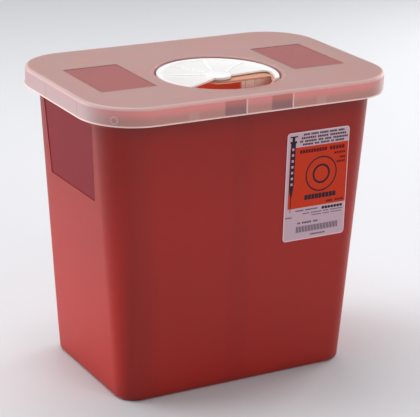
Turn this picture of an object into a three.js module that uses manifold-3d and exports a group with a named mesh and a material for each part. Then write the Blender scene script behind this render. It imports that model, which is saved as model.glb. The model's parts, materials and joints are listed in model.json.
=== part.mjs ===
// Sharps container: a tapered translucent bin, a press-fit lid with a round well, a rotor that turns in
// the well to open and close the drop opening, and an adhesive label on the front wall.
// Millimetres. The origin is the middle of the base, +Z is up, X runs along the long side and the label
// is on the side that faces -Y.

import * as THREE from 'three';
import { mergeVertices } from 'three/addons/utils/BufferGeometryUtils.js';
import Module from 'manifold-3d';

const wasm = await Module();
wasm.setup();

// ---------------------------------------------------------------- driving sizes

const LID_TOP = 254;
const RUNNING_GAP = 0.4;
const REST_GAP = 0.3;
const OVERLAP = 0.5;
const CUT_REACH = 1;
const CORNER_STEPS = 6;
const ROUND_STEPS = 64;

const BIN = {
  footHalfLong: 105.8, footHalfShort: 69.5, footCorner: 18,
  mouthHalfLong: 125.8, mouthHalfShort: 73.5, mouthCorner: 25,
  wall: 2.0, floor: 2.2, baseEdge: 4, baseRecess: 1.4, footRing: 9, floorFillet: 3,
  flangeThick: 1.8, lipThick: 1.8, lipBottom: 247, lipClear: 1.9, rimRound: 0.7,
};

const COLLAR = {
  halfLong: 127.6, halfShort: 79.8, corner: 31,
  shoulderBottom: 233, shoulderTop: 238.5, innerRise: 2,
};

const LID = {
  halfLong: 135.7, halfShort: 91.4, corner: 44.3,
  plate: 1.8, skirtWall: 1.6, skirtDepth: 15.3, edgeRound: 2.5,
  flare: 0.7, flareChamfer: 0.4, flareFull: 0.8, flareTop: 2.2,
  plugWall: 1.5, plugBottom: 246.2, plugClear: 0.6, plugChamfer: 0.3, plugLeadIn: 0.8,
};

const WELL = {
  y: -21.1, radius: 51.9, wall: 1.6, floorTop: 249.4, floorThick: 1.8,
  beadRadius: 55.2, beadHeight: 0.6, beadFoot: 0.5, holeRadius: 44.4, bossRadius: 12.1, boreRadius: 5.3,
};

const BAFFLE = {
  start: 15.5, bottom: 239.5, thick: 1.4, ribDepth: 0.9,
  ribs: [[15.5, 17.1], [18.7, 20.3], [27.5, 29.9], [35.5, 36.9]],
};

const LUG = {
  depth: 1.2, root: 0.8, lift: 0.5,
  front: [[-32.5, -13], [9.5, 29]], side: [[-43, -15.5], [15.5, 43]],
  small: [[-64, -55], [51, 60]], smallTop: 246,
};

const RING_MARK = { angle: 227, z: 244, inner: 2, outer: 3.4, root: 1, proud: 0.4 };

const ROTOR = {
  radius: 50.1, ringWidth: 4.1, ringTop: 253.2, ringEdge: 0.8,
  plateBottom: 250.2, plateTop: 252, hubRadius: 10.7, hubTop: 252.8,
  stemRadius: 4.8, stemBore: 3, stemBottom: 245.4, slotWidth: 1.4, slotTop: 249.2,
  lipRadius: 6.1, lipHeight: 1.6, lipSlant: 1,
  armEnd: -38, rightCut: 4.7, rightOffset: -3.9, leftCut: 211, cornerRound: 6,
  ribAngles: [34.5, 76, 117.5, 159], ribWidth: 1.6, ribTop: 252.7,
};

const GLOSS_WINDOW = { near: 64.1, far: 111, front: -36.5, back: 35.3, depth: 0.35 };
const SIDE_PANEL = { bottomHalf: 41.2, topHalf: 45.4, bottom: 167, top: 231, depth: 0.5 };
const LABEL = { left: 36.4, right: 95.9, bottom: 118.3, top: 212.1, corner: 3, thick: 0.3 };

const LIP_HALF_LONG = LID.halfLong - LID.skirtWall - BIN.lipClear;
const LIP_HALF_SHORT = LID.halfShort - LID.skirtWall - BIN.lipClear;
const LIP_CORNER = LID.corner - LID.skirtWall - BIN.lipClear;
const RIM_TOP = LID_TOP - LID.plate - REST_GAP;

// ---------------------------------------------------------------- solids from three.js geometry

function solid(geometry) {
  const plain = geometry.clone();
  plain.deleteAttribute('normal');
  plain.deleteAttribute('uv');
  const merged = mergeVertices(plain, 1e-4);
  const index = merged.index.array;
  const triangles = [];
  for (let i = 0; i < index.length; i += 3) {
    const [a, b, c] = [index[i], index[i + 1], index[i + 2]];
    if (a !== b && b !== c && c !== a) triangles.push(a, b, c);
  }
  return new wasm.Manifold(new wasm.Mesh({
    numProp: 3,
    vertProperties: new Float32Array(merged.attributes.position.array),
    triVerts: new Uint32Array(triangles),
  }));
}

function part(name, body, material) {
  const mesh = body.getMesh();
  const geometry = new THREE.BufferGeometry();
  geometry.setAttribute('position', new THREE.BufferAttribute(new Float32Array(mesh.vertProperties), 3));
  geometry.setIndex(new THREE.BufferAttribute(new Uint32Array(mesh.triVerts), 1));
  const node = new THREE.Mesh(geometry, material);
  node.name = name;
  return node;
}

function box(x, y, z) {
  const geometry = new THREE.BoxGeometry(x[1] - x[0], y[1] - y[0], z[1] - z[0]);
  geometry.translate((x[0] + x[1]) / 2, (y[0] + y[1]) / 2, (z[0] + z[1]) / 2);
  return solid(geometry);
}

function slab(shape, z, steps = CORNER_STEPS) {
  const geometry = new THREE.ExtrudeGeometry(shape, {
    depth: z[1] - z[0], bevelEnabled: false, curveSegments: steps,
  });
  geometry.translate(0, 0, z[0]);
  return solid(geometry);
}

// Turned solid about the vertical line through (0, y). The profile is [radius, height] pairs.
function turned(profile, y, steps = ROUND_STEPS) {
  const geometry = new THREE.LatheGeometry(profile.map(([r, z]) => new THREE.Vector2(r, z)), steps);
  geometry.rotateX(Math.PI / 2);
  geometry.translate(0, y, 0);
  return solid(geometry);
}

function roundedRectangle(halfLong, halfShort, corner) {
  const x = halfLong - corner;
  const y = halfShort - corner;
  const quarter = Math.PI / 2;
  const shape = new THREE.Shape();
  shape.absarc(x, y, corner, 0, quarter);
  shape.absarc(-x, y, corner, quarter, 2 * quarter);
  shape.absarc(-x, -y, corner, 2 * quarter, 3 * quarter);
  shape.absarc(x, -y, corner, 3 * quarter, 4 * quarter);
  shape.closePath();
  return shape;
}

// A closed solid whose skin runs through a list of rounded-rectangle rings, with a flat cap on the first
// and on the last. The rectangle is extruded one unit per ring, and then each ring is moved to its place.
function stack(rings) {
  const first = rings[0];
  const last = rings.length - 1;
  const outline = roundedRectangle(first.halfLong, first.halfShort, first.corner);
  const geometry = new THREE.ExtrudeGeometry(outline, {
    depth: last, steps: last, bevelEnabled: false, curveSegments: CORNER_STEPS,
  });
  const position = geometry.attributes.position;
  for (let i = 0; i < position.count; i += 1) {
    const ring = rings[Math.round(position.getZ(i))];
    const along = (value, half, halfNow) => {
      const side = Math.sign(value);
      const normal = (value - side * (half - first.corner)) / first.corner;
      return side * (halfNow - ring.corner) + normal * ring.corner;
    };
    position.setXYZ(
      i,
      along(position.getX(i), first.halfLong, ring.halfLong),
      along(position.getY(i), first.halfShort, ring.halfShort),
      ring.z,
    );
  }
  return solid(geometry);
}

function inset(section, amount, z) {
  return {
    halfLong: section.halfLong - amount,
    halfShort: section.halfShort - amount,
    corner: section.corner - amount,
    z,
  };
}

// Quarter-round steps between two directions: pairs of (across, up) from 0 to 1.
function quarterRound(steps) {
  return Array.from({ length: steps + 1 }, (_, i) => {
    const angle = (i / steps) * Math.PI / 2;
    return [1 - Math.cos(angle), Math.sin(angle)];
  });
}

// ---------------------------------------------------------------- bin

function binSection(z) {
  const t = z / LID_TOP;
  return {
    halfLong: THREE.MathUtils.lerp(BIN.footHalfLong, BIN.mouthHalfLong, t),
    halfShort: THREE.MathUtils.lerp(BIN.footHalfShort, BIN.mouthHalfShort, t),
    corner: THREE.MathUtils.lerp(BIN.footCorner, BIN.mouthCorner, t),
  };
}

// The tapered wall ends in a shoulder under the lid's skirt, which steps out to an upright collar. The collar
// takes the lid's plug and carries the rim.
function binShell() {
  const rim = { halfLong: LIP_HALF_LONG, halfShort: LIP_HALF_SHORT, corner: LIP_CORNER };
  const wallAt = (z, depth) => inset(binSection(z), depth, z);
  const floorTop = BIN.baseRecess + BIN.floor;
  const baseEdge = quarterRound(4).map(([up, across]) => (
    inset(binSection(0), BIN.baseEdge * (1 - across), BIN.baseEdge * up)
  ));
  const floorFillet = quarterRound(3).map(([across, up]) => {
    const z = floorTop + BIN.floorFillet * (1 - up);
    return inset(binSection(z), BIN.wall + BIN.floorFillet * across, z);
  });
  return stack([
    inset(binSection(0), BIN.baseEdge + BIN.footRing, BIN.baseRecess),
    inset(binSection(0), BIN.baseEdge + BIN.footRing - BIN.baseRecess, 0),
    ...baseEdge,
    wallAt(COLLAR.shoulderBottom, 0),
    inset(COLLAR, 0, COLLAR.shoulderTop),
    inset(COLLAR, 0, RIM_TOP - BIN.flangeThick),
    inset(rim, BIN.lipThick, RIM_TOP - BIN.flangeThick),
    inset(rim, BIN.lipThick, BIN.lipBottom),
    inset(rim, 0, BIN.lipBottom),
    inset(rim, 0, RIM_TOP - BIN.rimRound),
    inset(rim, BIN.rimRound, RIM_TOP),
    inset(COLLAR, BIN.wall - BIN.rimRound, RIM_TOP),
    inset(COLLAR, BIN.wall, RIM_TOP - BIN.rimRound),
    inset(COLLAR, BIN.wall, COLLAR.shoulderTop + COLLAR.innerRise),
    wallAt(COLLAR.shoulderBottom + COLLAR.innerRise, BIN.wall),
    ...floorFillet,
  ]);
}

// A shallow smooth panel in each short wall, a little wider at the top and cut to one depth behind the
// sloping face.
function sidePanelCut(side) {
  const slope = Math.atan2(BIN.mouthHalfLong - BIN.footHalfLong, LID_TOP);
  const middle = (SIDE_PANEL.bottom + SIDE_PANEL.top) / 2;
  const halfHeight = (SIDE_PANEL.top - SIDE_PANEL.bottom) / 2;
  const reach = 4;
  const shape = new THREE.Shape([
    new THREE.Vector2(-SIDE_PANEL.bottomHalf, -halfHeight),
    new THREE.Vector2(SIDE_PANEL.bottomHalf, -halfHeight),
    new THREE.Vector2(SIDE_PANEL.topHalf, halfHeight),
    new THREE.Vector2(-SIDE_PANEL.topHalf, halfHeight),
  ]);
  const geometry = new THREE.ExtrudeGeometry(shape, { depth: reach, bevelEnabled: false });
  geometry.translate(0, 0, -SIDE_PANEL.depth);
  geometry.rotateX(Math.PI / 2);
  geometry.rotateZ(Math.PI / 2);
  geometry.rotateY(slope);
  geometry.translate(binSection(middle).halfLong, 0, middle);
  if (side < 0) geometry.rotateZ(Math.PI);
  return solid(geometry);
}

function containerBody() {
  return binShell().subtract(sidePanelCut(1)).subtract(sidePanelCut(-1));
}

// ---------------------------------------------------------------- lid

function lidShell() {
  const edge = { halfLong: LID.halfLong, halfShort: LID.halfShort, corner: LID.corner };
  const mouth = inset(COLLAR, BIN.wall + LID.plugClear);
  const under = LID_TOP - LID.plate;
  const skirtBottom = LID_TOP - LID.skirtDepth;
  const topEdge = quarterRound(4).map(([across, up]) => (
    inset(edge, LID.edgeRound * across, LID_TOP - LID.edgeRound * (1 - up))
  ));
  return stack([
    inset(mouth, LID.plugWall, under),
    inset(mouth, LID.plugWall, LID.plugBottom),
    inset(mouth, LID.plugChamfer, LID.plugBottom),
    inset(mouth, 0, LID.plugBottom + LID.plugLeadIn),
    inset(mouth, 0, under),
    inset(edge, LID.skirtWall, under),
    inset(edge, LID.skirtWall, skirtBottom),
    inset(edge, LID.flareChamfer - LID.flare, skirtBottom),
    inset(edge, -LID.flare, skirtBottom + LID.flareChamfer),
    inset(edge, -LID.flare, skirtBottom + LID.flareFull),
    inset(edge, 0, skirtBottom + LID.flareTop),
    ...topEdge,
  ]);
}

function wellCup() {
  const beadMiddle = (WELL.radius + WELL.beadRadius) / 2;
  const beadHalf = (WELL.beadRadius - WELL.radius) / 2;
  const beadSteps = 6;
  const foot = LID_TOP - WELL.beadFoot;
  const bead = Array.from({ length: beadSteps + 1 }, (_, i) => {
    const angle = (i / beadSteps) * Math.PI;
    return [
      beadMiddle + beadHalf * Math.cos(angle),
      foot + (LID_TOP + WELL.beadHeight - foot) * Math.sin(angle),
    ];
  });
  const bottom = WELL.floorTop - WELL.floorThick;
  return turned([
    [0, bottom],
    [WELL.radius + WELL.wall, bottom],
    [WELL.radius + WELL.wall, LID_TOP - LID.plate - OVERLAP],
    ...bead,
    [WELL.radius, WELL.floorTop],
    [0, WELL.floorTop],
  ], WELL.y);
}

// The drop opening: a half round, open from the left side round the front to a straight back edge that is
// tangent to the boss that carries the rotor.
function dropOpening() {
  const end = -Math.asin(WELL.bossRadius / WELL.holeRadius);
  const shape = new THREE.Shape();
  shape.absarc(0, WELL.y, WELL.holeRadius, Math.PI, 2 * Math.PI + end);
  shape.absarc(0, WELL.y, WELL.bossRadius, 1.5 * Math.PI, Math.PI, true);
  shape.closePath();
  return slab(shape, [WELL.floorTop - WELL.floorThick - CUT_REACH, WELL.floorTop + CUT_REACH], 16);
}

// A wall that hangs from the straight back edge of the drop opening, with upright ribs on its front face.
function baffle() {
  const face = WELL.y - WELL.bossRadius;
  const back = face + BAFFLE.thick;
  const proud = 0.02;
  const end = Math.sqrt(WELL.holeRadius ** 2 - WELL.bossRadius ** 2) + OVERLAP;
  const z = [BAFFLE.bottom, WELL.floorTop - OVERLAP];
  const wall = box([BAFFLE.start, end], [face - proud, back], z);
  return BAFFLE.ribs.reduce((body, rib) => body.add(box(rib, [face - BAFFLE.ribDepth, back], z)), wall);
}

// Snap lugs on the inner face of the skirt, clear of the bin's lip, so the lid lifts straight off.
function snapLugs() {
  const mirrored = ([from, to], sign) => (sign > 0 ? [from, to] : [-to, -from]);
  const reach = (half) => [half - LID.skirtWall - LUG.depth, half - LUG.root];
  const bottom = LID_TOP - LID.skirtDepth + LUG.lift;
  const tall = [bottom, LID_TOP - LID.plate + OVERLAP];
  const low = [bottom, LUG.smallTop];
  const lugs = [];
  for (const sign of [-1, 1]) {
    const y = mirrored(reach(LID.halfShort), sign);
    const x = mirrored(reach(LID.halfLong), sign);
    for (const along of LUG.front) lugs.push(box(along, y, tall));
    for (const along of LUG.small) lugs.push(box(along, y, low));
    for (const along of LUG.side) lugs.push(box(x, along, tall));
  }
  return lugs;
}

// A small raised ring on the front left corner of the skirt, turned flat and then stood on the corner.
function cornerRing() {
  const { inner, outer, root, proud } = RING_MARK;
  const profile = [[inner, -root], [outer, -root], [outer, proud], [inner, proud], [inner, -root]];
  const ring = turned(profile, 0, 24);
  return ring
    .rotate([0, 90, 0])
    .translate([LID.corner, 0, 0])
    .rotate([0, 0, RING_MARK.angle])
    .translate([LID.corner - LID.halfLong, LID.corner - LID.halfShort, RING_MARK.z]);
}

// An upright round cutter about the well's axis.
function roundCut(radius, bottom, top, steps) {
  return turned([[0, bottom], [radius, bottom], [radius, top], [0, top]], WELL.y, steps);
}

function glossWindow(x) {
  const z = [LID_TOP - GLOSS_WINDOW.depth, LID_TOP + CUT_REACH];
  return box(x, [GLOSS_WINDOW.front, GLOSS_WINDOW.back], z);
}

function lid() {
  const floorBottom = WELL.floorTop - WELL.floorThick;
  const mouth = roundCut(WELL.radius + OVERLAP, WELL.floorTop, LID_TOP + CUT_REACH);
  const bore = roundCut(WELL.boreRadius, floorBottom - CUT_REACH, WELL.floorTop + CUT_REACH, 32);
  let body = lidShell().subtract(mouth).add(wellCup()).subtract(dropOpening()).subtract(bore).add(baffle());
  for (const lug of snapLugs()) body = body.add(lug);
  return body
    .add(cornerRing())
    .subtract(glossWindow([GLOSS_WINDOW.near, GLOSS_WINDOW.far]))
    .subtract(glossWindow([-GLOSS_WINDOW.far, -GLOSS_WINDOW.near]));
}

// ---------------------------------------------------------------- rotor

// The whole disc before it is cut open: a plate inside a ring with rounded edges.
function rotorDisc() {
  const { radius, ringWidth, ringTop, ringEdge, plateBottom, plateTop } = ROTOR;
  const inner = radius - ringWidth;
  const ringBottom = WELL.floorTop + RUNNING_GAP;
  const edge = quarterRound(2).map(([across, up]) => [ringEdge * across, ringTop - ringEdge * (1 - up)]);
  return turned([
    [0, plateBottom],
    [inner, plateBottom],
    [inner, ringBottom],
    [radius, ringBottom],
    ...edge.map(([across, z]) => [radius - across, z]),
    ...edge.reverse().map(([across, z]) => [inner + across, z]),
    [inner, plateTop],
    [0, plateTop],
  ], WELL.y, 72);
}

// The open part of the rotor: the sector between its two straight edges, with a round corner where the
// right edge runs out along the ring, and the ring itself missing from the arm's end round to the left edge.
function rotorCut() {
  const rad = THREE.MathUtils.degToRad;
  const z = [WELL.floorTop - CUT_REACH, ROTOR.ringTop + CUT_REACH];
  const far = ROTOR.radius + 10 * CUT_REACH;
  const ringInner = ROTOR.radius - ROTOR.ringWidth;
  const right = new THREE.Vector2(Math.cos(rad(ROTOR.rightCut)), Math.sin(rad(ROTOR.rightCut)));
  const start = new THREE.Vector2(0, ROTOR.rightOffset);

  const inner = ringInner - ROTOR.cornerRound;
  const along = Math.sqrt(inner ** 2 - (ROTOR.rightOffset - ROTOR.cornerRound) ** 2);
  const roundCentre = start.clone().addScaledVector(right, along);
  roundCentre.add(new THREE.Vector2(right.y, -right.x).multiplyScalar(ROTOR.cornerRound));
  const reach = roundCentre.length();
  const roundAngle = roundCentre.angle();
  const corner = ringInner - reach;

  const shape = new THREE.Shape();
  shape.moveTo(start.x, start.y);
  shape.absarc(roundCentre.x, roundCentre.y, corner, rad(ROTOR.rightCut + 90), roundAngle, true);
  shape.absarc(0, 0, ringInner, roundAngle, rad(ROTOR.armEnd), true);
  shape.lineTo(far * Math.cos(rad(ROTOR.armEnd)), far * Math.sin(rad(ROTOR.armEnd)));
  shape.absarc(0, 0, far, rad(ROTOR.armEnd), rad(ROTOR.leftCut), true);
  shape.closePath();
  return slab(shape, z, 12).translate([0, WELL.y, 0]);
}

function rotorRibs() {
  const length = ROTOR.radius - ROTOR.ringWidth + OVERLAP;
  const halfWidth = ROTOR.ribWidth / 2;
  const rib = box([0, length], [-halfWidth, halfWidth], [ROTOR.plateTop - OVERLAP, ROTOR.ribTop]);
  return ROTOR.ribAngles.map((angle) => rib.rotate([0, 0, angle]).translate([0, WELL.y, 0]));
}

// The pivot: a hollow stem through the bore of the boss, with a snap lip below the floor and four slots
// that make it into springy fingers.
function rotorStem() {
  const { stemRadius, stemBore, lipRadius, stemBottom, lipHeight, slotWidth } = ROTOR;
  const top = ROTOR.plateBottom + OVERLAP;
  const stem = turned([
    [stemBore, stemBottom],
    [stemRadius, stemBottom],
    [lipRadius, stemBottom + ROTOR.lipSlant],
    [lipRadius, stemBottom + lipHeight],
    [stemRadius, stemBottom + lipHeight],
    [stemRadius, top],
    [stemBore, top],
    [stemBore, stemBottom],
  ], WELL.y, 32);
  const reach = lipRadius + CUT_REACH;
  const z = [stemBottom - CUT_REACH, ROTOR.slotTop];
  const slot = box([-reach, reach], [-slotWidth / 2, slotWidth / 2], z);
  const across = slot.rotate([0, 0, 90]);
  return stem.subtract(slot.translate([0, WELL.y, 0])).subtract(across.translate([0, WELL.y, 0]));
}

function rotorHub() {
  const { plateBottom, hubRadius, hubTop } = ROTOR;
  const chamfer = 0.5;
  return turned([
    [0, plateBottom],
    [hubRadius, plateBottom],
    [hubRadius, hubTop - chamfer],
    [hubRadius - chamfer, hubTop],
    [0, hubTop],
  ], WELL.y, 48);
}

function rotor() {
  let disc = rotorDisc();
  for (const rib of rotorRibs()) disc = disc.add(rib);
  return disc.subtract(rotorCut()).add(rotorHub()).add(rotorStem());
}

// ---------------------------------------------------------------- label

// A thin sheet that lies on the front wall, with rounded corners.
function frontLabel() {
  const slope = Math.atan2(BIN.mouthHalfShort - BIN.footHalfShort, LID_TOP);
  const halfWidth = (LABEL.right - LABEL.left) / 2;
  const halfHeight = (LABEL.top - LABEL.bottom) / 2;
  const middle = (LABEL.top + LABEL.bottom) / 2;
  const geometry = new THREE.ExtrudeGeometry(roundedRectangle(halfWidth, halfHeight, LABEL.corner), {
    depth: LABEL.thick, bevelEnabled: false, curveSegments: 4,
  });
  geometry.translate(0, 0, REST_GAP);
  geometry.rotateX(Math.PI / 2 + slope);
  geometry.translate((LABEL.left + LABEL.right) / 2, -binSection(middle).halfShort, middle);
  return solid(geometry);
}

// ---------------------------------------------------------------- assembly

function plastic(color, roughness) {
  return new THREE.MeshStandardMaterial({ color, roughness, metalness: 0 });
}

const redPlastic = plastic(0xb03a36, 0.4);
const frostedPlastic = plastic(0xd9b5ad, 0.5);
const whitePlastic = plastic(0xf4f1ea, 0.4);
const labelPaper = plastic(0xc9b8c4, 0.6);

const container = new THREE.Group();
container.add(
  part('container_body', containerBody(), redPlastic),
  part('front_label', frontLabel(), labelPaper),
  part('lid', lid(), frostedPlastic),
  part('rotor', rotor(), whitePlastic),
);

export default container;
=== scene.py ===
"""Looks of the sharps container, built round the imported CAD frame.

The frame is in metres. Shapes and materials are drawn here in millimetres, the unit of the CAD source:
`point` turns a place into metres, and `Nodes.axes` gives a material its place in millimetres. Each CAD
node is stood for by a finer mesh of the same size.
"""

import json
import math

import bmesh
import bpy
from mathutils import Matrix, Vector


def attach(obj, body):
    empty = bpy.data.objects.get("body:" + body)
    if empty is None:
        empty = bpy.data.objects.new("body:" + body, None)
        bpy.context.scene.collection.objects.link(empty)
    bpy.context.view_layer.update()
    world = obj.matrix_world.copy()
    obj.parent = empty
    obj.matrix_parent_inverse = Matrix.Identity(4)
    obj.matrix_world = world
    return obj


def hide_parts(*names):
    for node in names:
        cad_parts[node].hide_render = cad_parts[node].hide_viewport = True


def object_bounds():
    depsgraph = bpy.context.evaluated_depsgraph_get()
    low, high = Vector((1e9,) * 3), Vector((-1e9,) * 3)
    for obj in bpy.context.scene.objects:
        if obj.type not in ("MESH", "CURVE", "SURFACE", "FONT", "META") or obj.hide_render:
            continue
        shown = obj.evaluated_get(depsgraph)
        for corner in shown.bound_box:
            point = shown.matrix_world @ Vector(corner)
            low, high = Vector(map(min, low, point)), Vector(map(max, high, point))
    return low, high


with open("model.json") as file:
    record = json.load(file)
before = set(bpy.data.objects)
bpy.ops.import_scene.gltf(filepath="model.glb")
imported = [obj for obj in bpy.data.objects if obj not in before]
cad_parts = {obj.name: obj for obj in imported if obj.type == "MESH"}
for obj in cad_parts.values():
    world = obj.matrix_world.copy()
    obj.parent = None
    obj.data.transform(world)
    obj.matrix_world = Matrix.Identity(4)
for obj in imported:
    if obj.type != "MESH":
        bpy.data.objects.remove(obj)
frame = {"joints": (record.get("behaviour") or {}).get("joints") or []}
cad_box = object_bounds()

# ---------------------------------------------------------------- sizes, in millimetres

MM = 0.001
CORNER_STEPS = 20
ROUND_STEPS = 144


def from_frame(length):
    """A length of the frame in millimetres, to a hundredth."""
    return round(length / MM, 2)


HALF_LONG, HALF_SHORT, TOP = (from_frame(side) for side in cad_box[1])
ROTOR_PIVOT = next(joint["pos_m"] for joint in frame["joints"] if joint["name"] == "rotor_turn")

# The highest point is the bead round the well, and the widest is the skirt's flared edge.
BEAD_HEIGHT = 0.6
FLARE = 0.7
LID_TOP = TOP - BEAD_HEIGHT

# The bin tapers from FOOT at the base to MOUTH at the height of the lid's top.
FOOT = {"half_long": 105.8, "half_short": 69.5, "corner": 18.0}
MOUTH = {"half_long": 125.8, "half_short": 73.5, "corner": 25.0}
COLLAR = {"half_long": 127.6, "half_short": 79.8, "corner": 31.0}
COLLAR_ROUND = 0.6
SHOULDER = (233.0, 238.5)
WALL_LEVELS = (30, 80, 130, 180, 220)
INNER_RISE = 2.0
BIN_WALL = 2.0
BIN_FLOOR = 2.2
BASE_EDGE = 4.0
BASE_RECESS = 1.4
FOOT_RING = 9.0
FLOOR_FILLET = 3.0
FLANGE_THICK = 1.8
LIP_THICK = 1.8
LIP_BOTTOM = 247.0
RIM_ROUND = 0.7

LID_OUTER = {"half_long": HALF_LONG - FLARE, "half_short": HALF_SHORT - FLARE, "corner": 44.3}
PLATE = 1.8
SKIRT_WALL = 1.6
SKIRT_BOTTOM = LID_TOP - 15.3
EDGE_ROUND = 2.5
PLUG_WALL = 1.5
PLUG_BOTTOM = 246.2
PLUG_CLEAR = 0.6
CHAMFER = 0.3

# The flared edge: how far in from its widest line, and how far up from the skirt's bottom.
FLARED_EDGE = ((0.4, 0), (0.12, 0.12), (0, 0.4), (0, 0.8), (0.2, 1.2), (0.49, 1.7), (FLARE, 2.4))

RIM_INSET = SKIRT_WALL + 1.9
RIM = {key: size - RIM_INSET for key, size in LID_OUTER.items()}
RIM_TOP = LID_TOP - PLATE - 0.3

WELL_Y = from_frame(ROTOR_PIVOT[1])
WELL_RADIUS = 51.9
WELL_WALL = 1.6
WELL_FLOOR = 249.4
WELL_FLOOR_THICK = 1.8
WELL_CORNER = 1.2
BEAD_RADIUS = 55.2
BEAD_FOOT = LID_TOP - 0.5
HOLE_RADIUS = 44.4
BOSS_RADIUS = 12.1
BORE_RADIUS = 5.3
BAFFLE = {"start": 15.5, "bottom": 239.5, "thick": 1.4, "rib_depth": 0.9}
BAFFLE_RIBS = ((0, 1.6), (3.2, 4.8), (12, 14.4), (20, 21.4))

ROTOR_RADIUS = 50.1
RING_WIDTH = 4.1
RING_TOP = 253.2
RING_EDGE = 0.8
ROTOR_GAP = 0.4
ROTOR_PLATE = (250.2, 252.0)
HUB_RADIUS = 10.7
HUB_TOP = 252.8
ARM_END = -38.0
RIGHT_CUT = 4.7
RIGHT_OFFSET = -3.9
LEFT_CUT = 211.0
CUT_ROUND = 6.0
RIB_ANGLES = (34.5, 76.0, 117.5, 159.0)
RIB_WIDTH = 1.6
RIB_TOP = 252.7
STEM = {"bottom": 245.4, "lip_top": 247.0, "bore": 3.0, "radius": 4.8, "lip": 6.1, "slot": 1.4}

WINDOW = {"near": 64.1, "far": 111.0, "front": -36.5, "back": 35.3, "depth": 0.35}
SIDE_PANEL = {"bottom_half": 41.2, "top_half": 45.4, "bottom": 167.0, "top": 231.0, "depth": 0.5}
FRONT_LUGS = ((-32.5, -13.0), (9.5, 29.0))
SMALL_LUGS = ((-64.0, -55.0), (51.0, 60.0))
SIDE_LUGS = ((-43.0, -15.5), (15.5, 43.0))
LUG_DEPTH = 1.2
LUG_BOTTOM = SKIRT_BOTTOM + 0.5
SMALL_LUG_TOP = LID_TOP - 8
CORNER_RING = {"inner": 2.0, "outer": 3.4, "height": 0.4, "down": 10.0, "angle": 227}

LABEL = {"left": 36.4, "right": 95.9, "bottom": 118.3, "top": 212.1, "corner": 3.0}
LABEL_LIFT = (0.3, 0.6)
INK_LEVELS = {"ground": (0.55, 0.62), "print": (0.58, 0.65), "over": (0.6, 0.68)}
PANEL_INK = {"x": (39.6, 95.2), "z": (146.6, 199.1)}
EMBLEM = {"centre": (70.5, 174.0), "rings": ((13.9, 15.1), (6.6, 8.4))}
BARS = {"x": (48.8, 89.7), "z": (124.9, 130.2), "count": 28, "share": 0.55}

# Lines of marks: from where to where along the wall, how high up it, how tall, how many marks in each
# group, and, where they aren't the usual ones, a mark's width and the gap after it.
DARK_LINES = (
    ((51.7, 90.6), 208.7, 1.6, (5, 6, 7, 6, 5)),
    ((49.9, 92.4), 205.8, 1.6, (8, 6, 9)),
    ((48.5, 94.3), 203.0, 1.6, (2, 7, 3, 4, 9)),
    ((51.4, 90.8), 200.3, 1.6, (7, 3, 6, 2, 6)),
    ((55.3, 85.5), 152.9, 4.2, (9,), 2.9, 0.35),
    ((72.8, 92.7), 142.7, 2.2, (7,), 2.4, 0.4),
)
RED_LINES = (
    ((48.9, 74.8), 193.5, 3.0, (10,), 2.1, 0.4),
    ((77.6, 91.8), 193.5, 3.1, (5,), 2.2, 0.5),
    ((82.1, 92.8), 189.5, 1.8, (5,)),
    ((87.7, 93.1), 185.1, 1.8, (5,)),
    ((85.1, 92.9), 181.6, 1.8, (5,)),
    ((76.7, 93.5), 148.4, 1.7, (3, 4)),
)
GREY_LINES = (
    ((47.5, 68.7), 143.6, 1.1, (6, 9), 1.0, 0.3),
    ((54.6, 92.9), 140.6, 0.9, (5, 8, 4, 9), 0.9, 0.4),
    ((63.3, 92.3), 138.4, 0.8, (7, 5, 8), 0.9, 0.4),
    ((37.8, 44.0), 138.6, 1.0, (5,), 0.9, 0.3),
    ((49.8, 69.4), 132.4, 1.5, (2, 6, 3)),
    ((62.8, 77.2), 121.4, 1.2, (9,), 1.0, 0.3),
)

# The drawn syringe: its plunger's three bars and its barrel with the needle, across from its middle
# line and up the wall, and the scale marks on the barrel.
SYRINGE_MIDDLE = 42.3
SYRINGE_BARS = (((-3.2, 3.9), (208, 209.1)), ((-1.2, 1.4), (204.6, 208.2)), ((-3, 3.3), (203, 204.8)))
SYRINGE_BARREL = (
    (-2.3, 203.2), (-2.3, 168), (-2.1, 162.4), (-0.5, 156), (-0.35, 143.2),
    (0.1, 143.2), (0.3, 156), (1.6, 162.4), (2.1, 168), (2.3, 203.2),
)
SCALE_MARKS = {"half": 1.0, "first": 167, "last": 197, "step": 5, "height": 2.1}


# ---------------------------------------------------------------- mesh helpers


def point(x, y, z):
    return Vector((x * MM, y * MM, z * MM))


def mesh_object(name, vertices, faces):
    mesh = bpy.data.meshes.new(name)
    mesh.from_pydata([point(*v) for v in vertices], [], faces)
    made = bmesh.new()
    made.from_mesh(mesh)
    bmesh.ops.remove_doubles(made, verts=made.verts, dist=1e-6)
    bmesh.ops.recalc_face_normals(made, faces=made.faces)
    made.to_mesh(mesh)
    made.free()
    piece = bpy.data.objects.new(name, mesh)
    bpy.context.scene.collection.objects.link(piece)
    return piece


def settled(piece):
    """Applies the piece's modifiers."""
    bpy.context.view_layer.update()
    graph = bpy.context.evaluated_depsgraph_get()
    mesh = bpy.data.meshes.new_from_object(piece.evaluated_get(graph))
    piece.modifiers.clear()
    piece.data = mesh


def carve(piece, tool, how):
    """Joins or cuts the piece with the tool by a boolean, and removes the tool."""
    modifier = piece.modifiers.new("carve", "BOOLEAN")
    modifier.object = tool
    modifier.operation = how
    modifier.solver = "MANIFOLD"
    settled(piece)
    bpy.data.objects.remove(tool)


def soften(piece, width):
    """Rounds the piece's sharp edges, so that they catch a line of light as moulded edges do."""
    modifier = piece.modifiers.new("edges", "BEVEL")
    modifier.width = width * MM
    modifier.segments = 2
    modifier.limit_method = "ANGLE"
    modifier.angle_limit = math.radians(40)
    settled(piece)


def smooth(piece):
    for polygon in piece.data.polygons:
        polygon.use_smooth = True
    piece.data.set_sharp_from_angle(angle=math.radians(35))
    return piece


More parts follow.
